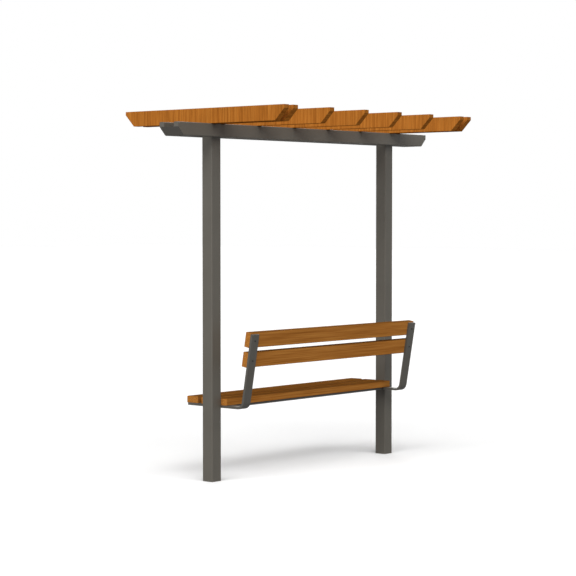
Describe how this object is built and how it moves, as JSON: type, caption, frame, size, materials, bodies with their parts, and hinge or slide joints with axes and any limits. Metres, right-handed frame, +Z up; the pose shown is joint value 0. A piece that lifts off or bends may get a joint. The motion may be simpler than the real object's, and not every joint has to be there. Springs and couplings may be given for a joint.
{
  "type": "pergola with bench",
  "caption": "Open garden pergola: square steel posts and twin steel beams carry undercut timber rafters, with a slatted timber bench on bent steel brackets between the posts.",
  "frame": {"origin": "centre of the first post's foot face, at ground level", "axes": "+X along the beams to the second post, +Y along the rafters to the side that a sitter faces, +Z up"},
  "size_m": [2.415, 1.283, 2.2265],
  "materials": {
    "coated_steel": "matt grey-brown powder coat",
    "rafter_timber": "stained orange-brown boards",
    "bench_timber": "stained orange-brown planks"
  },
  "bodies": {
    "root": {"post_1": "coated_steel", "post_2": "coated_steel", "foot_1": "coated_steel", "foot_2": "coated_steel", "cap_1": "coated_steel", "cap_2": "coated_steel", "beam_front": "coated_steel", "beam_back": "coated_steel", "beam_end_front_1": "coated_steel", "beam_end_front_2": "coated_steel", "beam_end_back_1": "coated_steel", "beam_end_back_2": "coated_steel", "gap_plate_1": "coated_steel", "gap_plate_2": "coated_steel", "bracket_1": "coated_steel", "bracket_2": "coated_steel", "seat_rail_front": "coated_steel", "seat_rail_back": "coated_steel", "rafter_1": "rafter_timber", "rafter_2": "rafter_timber", "rafter_3": "rafter_timber", "rafter_4": "rafter_timber", "rafter_5": "rafter_timber", "rafter_6": "rafter_timber", "rafter_7": "rafter_timber", "rafter_8": "rafter_timber", "seat_plank_front": "bench_timber", "seat_plank_middle": "bench_timber", "seat_plank_back": "bench_timber", "back_plank_lower": "bench_timber", "back_plank_upper": "bench_timber"}
  },
  "joints": []
}
